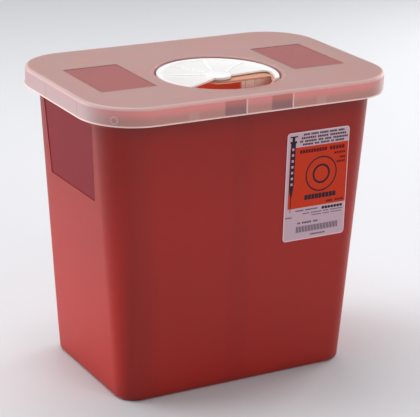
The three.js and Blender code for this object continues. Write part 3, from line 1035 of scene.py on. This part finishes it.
def frosted_plastic():
    """Natural polypropylene with a fine frosted texture. What shows through it is painted on by place, and
    so are highlights and shade.
    """
    made = Nodes("frosted_polypropylene")
    x, y, z = made.axes()
    high = made.rise(z, LID_TOP - 4, LID_TOP - 3.5)
    window = window_area(made, x, y, 0)
    window_edge_shade = made.math("SUBTRACT", window_area(made, x, y, 0.9), window)
    base = made.blend(made.noise(1.0, 3.0, 0.5, made.stretched((14, 14, 14))), *FROSTED["plate"])
    cloud = made.ramp(made.noise(1.0, 1.0, 0.5, made.stretched((22, 30, 22))), 0.4, 0.65, 0, 0.5)
    base = made.blend(cloud, base, FROSTED["cloud"])
    # Painted: the red bin showing through the clear windows, and painted shade along their recessed edges.
    base = made.blend(made.math("MULTIPLY", high, window), base, FROSTED["window"])
    base = made.blend(made.math("MULTIPLY", high, window_edge_shade), base, FROSTED["window_edge_shade"])
    # Painted highlight: the bead round the well is a paler pink.
    base = made.blend(well_bead(made, x, y, z), base, FROSTED["bead"])
    base = skirt_colour(made, x, y, z, base)
    # Painted light and shade in the well and on the baffle.
    base = made.blend(well_inside(made, x, y, z), base, well_colour(made, z))
    fine = made.noise(1900.0, 2.0, 0.6)
    rough = made.math("ADD", made.ramp(fine, 0.3, 0.7, 0.44, 0.54), made.math("MULTIPLY", window, -0.2))
    thin = made.ramp(z, LID_TOP - 4, LID_TOP - 0.6, 0.08, 0.42)
    made.set(Base_Color=base, Roughness=rough, IOR=1.49, Specular_IOR_Level=0.5, Transmission_Weight=thin)
    made.bump(made.math("MULTIPLY", fine, made.ramp(window, 0, 1, 1, 0.1)), 0.08)
    return made.material


def window_area(made, x, y, margin):
    """1 on the lid's two windows and a margin round them."""
    soft = 0.2
    along = made.between(made.math("ABSOLUTE", x), WINDOW["near"] - margin, WINDOW["far"] + margin, soft)
    across = made.between(y, WINDOW["front"] - margin, WINDOW["back"] + margin, soft)
    return made.math("MULTIPLY", along, across)


def from_well_axis(made, x, y):
    return made.length(x, made.math("SUBTRACT", y, WELL_Y))


def well_bead(made, x, y, z):
    """1 on the raised bead round the well."""
    band = made.between(from_well_axis(made, x, y), WELL_RADIUS, BEAD_RADIUS, 0.3)
    return made.math("MULTIPLY", band, made.rise(z, LID_TOP - 1, BEAD_FOOT))


def well_inside(made, x, y, z):
    """1 on the wall and the floor of the well."""
    near = made.fall(from_well_axis(made, x, y), WELL_RADIUS + 0.1, WELL_RADIUS + 0.3)
    return made.math("MULTIPLY", near, made.fall(z, LID_TOP - 0.6, LID_TOP - 0.3))


def well_colour(made, z):
    """The baffle's colour below the well's floor, then the floor's, then the wall's above it. The baffle is
    painted pale with light that comes through, the floor darker with the rotor's painted shadow, and the
    wall with painted shade.
    """
    colour = made.blend(
        made.rise(z, WELL_FLOOR - 1.6, WELL_FLOOR - 0.8), FROSTED["baffle"], FROSTED["well_floor_shadow"],
    )
    return made.blend(made.rise(z, WELL_FLOOR + 0.2, WELL_FLOOR + 0.8), colour, FROSTED["well_wall_shade"])


def skirt_colour(made, x, y, z, base):
    """Colours the skirt, the rounded edge above it with a painted highlight, and what is under the plate."""
    corner = LID_OUTER["corner"]
    skin = made.outline_distance(
        x, y, LID_OUTER["half_long"] - corner, LID_OUTER["half_short"] - corner, corner,
    )
    low, high = LID_TOP - 3.5, LID_TOP - 2.5
    under = made.math("MULTIPLY", made.fall(skin, -3, -2.2), made.fall(z, low, high))
    base = made.blend(under, base, FROSTED["underside"])
    # Painted highlight along the rounded top edge.
    edge = made.math("MULTIPLY", made.ramp(skin, -3, -1.8, 0, 0.75), made.rise(z, low, high))
    base = made.blend(edge, base, FROSTED["edge_highlight"])
    on_skirt = made.rise(skin, -1.5 * SKIRT_WALL, -SKIRT_WALL)
    skirt = made.math("MULTIPLY", on_skirt, made.fall(z, LID_TOP - 0.9, LID_TOP - 0.3))
    # Painted light: the long sides' skirt gets its own colours, apart from the short sides'.
    long_side = made.rise(made.math("ABSOLUTE", y), 60, LID_OUTER["half_short"] - 0.9)
    long_side = made.math("MULTIPLY", long_side, made.ramp(x, 100, 128, 1, 0.1))
    return made.blend(skirt, base, skirt_outside(made, x, y, z, long_side))


def skirt_outside(made, x, y, z, long_side):
    """Painted: the bin's red rim shows through the skirt above, painted shade makes the skirt duller below
    it, and painted highlights make its edges pale.
    A pair of colours is the short side's and the long side's, which differ by painted light."""
    lower = made.blend(long_side, *SKIRT["lower"])
    upper = made.blend(long_side, *SKIRT["upper"])
    colour = made.blend(made.rise(z, LIP_BOTTOM - 3, LIP_BOTTOM + 2.5), lower, upper)
    colour = lug_colours(made, x, y, z, long_side, colour)
    # Painted highlights: a pale crease under the rounded top edge and a pale line along the flared bottom
    # edge.
    crease_highlight = made.blend(long_side, *SKIRT["crease_highlight"])
    colour = made.blend(made.rise(z, LID_TOP - 3, LID_TOP - 1.9), colour, crease_highlight)
    colour = made.blend(made.fall(z, SKIRT_BOTTOM + 0.9, SKIRT_BOTTOM + 1.5), colour, SKIRT["bottom_edge_highlight"])
    return made.blend(made.math("MULTIPLY", corner_ring(made, x, y, z), 0.22), colour, SKIRT["ring"])


def lug_colours(made, x, y, z, long_side, colour):
    """Painted shade: the snap lugs behind the skirt show as darker patches with a painted highlight line at
    one end, and on the short sides as a dark painted line. The small lugs show as a faint painted light
    patch."""
    lugs = made.math("MULTIPLY", long_side, lug_bands(made, x, FRONT_LUGS))
    dark = made.blend(made.rise(z, LIP_BOTTOM - 2, LIP_BOTTOM + 3), *SKIRT["lug"])
    colour = made.blend(made.math("MULTIPLY", lugs, 0.75), colour, dark)
    small = made.math("MULTIPLY", long_side, lug_bands(made, x, SMALL_LUGS))
    faint = made.ramp(z, LIP_BOTTOM - 2, LIP_BOTTOM + 0.5, 0.15, 0)
    colour = made.blend(made.math("MULTIPLY", small, faint), colour, SKIRT["small_lug"])
    lines = made.math("MULTIPLY", long_side, lug_lines(made, x, [right for left, right in FRONT_LUGS]))
    colour = made.blend(made.math("MULTIPLY", lines, 0.9), colour, SKIRT["lug_line"])
    half_long = LID_OUTER["half_long"]
    short_side = made.rise(made.math("ABSOLUTE", x), half_long - 4.7, half_long - 1.2)
    lines = made.math("MULTIPLY", short_side, lug_lines(made, y, [front for front, back in SIDE_LUGS]))
    return made.blend(made.math("MULTIPLY", lines, 0.7), colour, SKIRT["side_line"])


def lug_bands(made, along, lugs):
    return made.math("ADD", *[made.between(along, low, high, 0.6) for low, high in lugs])


def lug_lines(made, along, places):
    return made.math("ADD", *[made.between(along, place - 0.5, place + 0.5) for place in places])


def corner_ring(made, x, y, z):
    """1 on the raised ring on the skirt's front left corner."""
    corner, angle = LID_OUTER["corner"], math.radians(CORNER_RING["angle"])
    centre_x = corner - LID_OUTER["half_long"] + corner * math.cos(angle)
    centre_y = corner - LID_OUTER["half_short"] + corner * math.sin(angle)
    level = made.length(made.math("SUBTRACT", x, centre_x), made.math("SUBTRACT", y, centre_y))
    out = made.length(level, made.math("SUBTRACT", z, LID_TOP - CORNER_RING["down"]))
    return made.between(out, CORNER_RING["inner"], CORNER_RING["outer"], 0.2)


def white_plastic():
    """Glossy white: painted shade makes the plate between the ribs a little greyer than the ring, the ribs
    and the hub.
    """
    made = Nodes("white_polypropylene")
    z = made.axes()[2]
    fine = made.noise(1400.0, 2.0, 0.5)
    flow = made.noise(1.0, 2.0, 0.5, made.stretched((40, 40, 40)))
    # Painted light and shade: raised parts lighter, the plate between them greyer.
    raised = made.rise(z, ROTOR_PLATE[1] + 0.05, ROTOR_PLATE[1] + 0.5)
    base = made.blend(raised, made.blend(flow, *WHITE["plate"]), WHITE["raised"])
    made.set(Base_Color=base, Roughness=made.ramp(fine, 0.3, 0.7, 0.32, 0.42), IOR=1.49)
    made.set(Subsurface_Weight=0.6, Subsurface_Radius=(0.003, 0.0026, 0.0023), Subsurface_Scale=1.0)
    made.bump(fine, 0.04, 0.5)
    return made.material


def paper():
    """The label's film, with a paler border that is a painted highlight."""
    made = Nodes("label_film")
    fibre = made.noise(900.0, 4.0, 0.6)
    base = made.blend(fibre, *PAPER["film"])
    # Painted highlight: a paler border along the film's edge.
    base = made.blend(label_border(made), base, PAPER["border"])
    made.set(Base_Color=base, Roughness=made.ramp(fibre, 0.3, 0.7, 0.42, 0.52))
    made.bump(fibre, 0.02, 0.4)
    return made.material


def label_border(made):
    """0.8 on the outer millimetre of the film, 0 on the rest."""
    x, _, z = made.axes()
    across, up = label_middle()
    section = label_section()
    corner = section["corner"]
    skin = made.outline_distance(
        made.math("SUBTRACT", x, across),
        made.math("SUBTRACT", z, up),
        section["half_long"] - corner,
        section["half_short"] - corner,
        corner,
    )
    return made.ramp(skin, -1.3, -0.7, 0, 0.8)


def printed(name, low, high):
    """A coat of ink, a little uneven where the film shows through."""
    made = Nodes(name)
    speckle = made.noise(1300.0, 3.0, 0.65)
    base = made.blend(made.rise(speckle, 0.35, 0.65), low, high)
    made.set(Base_Color=base, Roughness=made.ramp(speckle, 0.3, 0.7, 0.34, 0.5), Specular_IOR_Level=0.12)
    made.bump(speckle, 0.01, 0.3)
    return made.material


# ---------------------------------------------------------------- stage, light and camera, in metres


def studio_floor():
    bpy.ops.mesh.primitive_plane_add(size=8, location=(0, 0, 0))
    floor = bpy.context.object
    floor.name = "studio_floor"
    made = Nodes("studio_floor")
    made.set(Base_Color=(0.72, 0.72, 0.74, 1), Roughness=0.85)
    floor.data.materials.append(made.material)


def placed(data, place):
    """An object for a light or a camera."""
    thing = bpy.data.objects.new(data.name, data)
    bpy.context.scene.collection.objects.link(thing)
    thing.location = place
    return thing


def soft_light(name, place, aim, size, power):
    data = bpy.data.lights.new(name, "AREA")
    data.shape = "RECTANGLE"
    data.size, data.size_y = size
    data.energy = power
    lamp = placed(data, place)
    lamp.rotation_mode = "QUATERNION"
    lamp.rotation_quaternion = (Vector(aim) - Vector(place)).to_track_quat("-Z", "Y")


def light_inside():
    """A lamp in the bin, for the light that comes through its thin walls. It isn't seen itself."""
    data = bpy.data.lights.new("light_through_the_walls", "POINT")
    data.energy = 0.15
    data.shadow_soft_size = 0.03
    lamp = placed(data, (0, -0.02, 0.13))
    lamp.visible_camera = False
    lamp.visible_transmission = False
    lamp.visible_glossy = False


def studio_light():
    world = bpy.data.worlds.new("studio")
    bpy.context.scene.world = world
    world.use_nodes = True
    background = world.node_tree.nodes["Background"]
    background.inputs["Color"].default_value = (0.84, 0.86, 0.90, 1)
    background.inputs["Strength"].default_value = 0.28
    soft_light("key", (-1.6, 1.15, 0.3), (0, 0, 0.08), (1.4, 1.2), 39)
    soft_light("top", (-0.1, 0.4, 1.8), (0, 0, 0.2), (1.6, 1.4), 25)
    soft_light("front", (0.5, -1.85, 0.95), (0, 0, 0.2), (1.1, 0.8), 12.5)
    light_inside()
    soft_light("edge", (1.5, 0.5, 0.4), (0, 0, 0.13), (0.8, 0.8), 13)
    bpy.context.scene.view_settings.view_transform = "Standard"


def photo_camera():
    azimuth, elevation, roll = math.radians(-29.52), math.radians(19.3), math.radians(1.51)
    distance, aim_right, aim_up = 1.4603, 0.007, 0.1309
    back = Vector((
        math.sin(azimuth) * math.cos(elevation),
        -math.cos(azimuth) * math.cos(elevation),
        math.sin(elevation),
    ))
    level = Vector((math.cos(azimuth), math.sin(azimuth), 0))
    upright = back.cross(level)
    right = level * math.cos(roll) + upright * math.sin(roll)
    up = upright * math.cos(roll) - level * math.sin(roll)
    place = level * aim_right + Vector((0, 0, aim_up)) + back * distance
    data = bpy.data.cameras.new("photo_camera")
    data.sensor_width = 36
    data.lens = 148.6
    data.clip_end = 50
    camera = placed(data, place)
    camera.matrix_world = Matrix.Translation(place) @ Matrix((right, up, back)).transposed().to_4x4()
    bpy.context.scene.camera = camera


# ---------------------------------------------------------------- assembly


def ride(piece, body, material):
    piece.data.materials.clear()
    piece.data.materials.append(material)
    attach(piece, body)


def stand_for(piece, body, node, material):
    ride(piece, body, material)
    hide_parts(node)


photo_camera()
bin_body = make_bin()
stand_for(bin_body, "container", "container_body", red_plastic())
smooth_side_panels(bin_body, smooth_red_plastic())
stand_for(make_lid(), "lid", "lid", frosted_plastic())
stand_for(make_rotor(), "rotor", "rotor", white_plastic())
stand_for(make_label(), "container", "front_label", paper())
for make, name, low, high in INKS:
    ride(make(), "container", printed(name, low, high))
studio_floor()
studio_light()
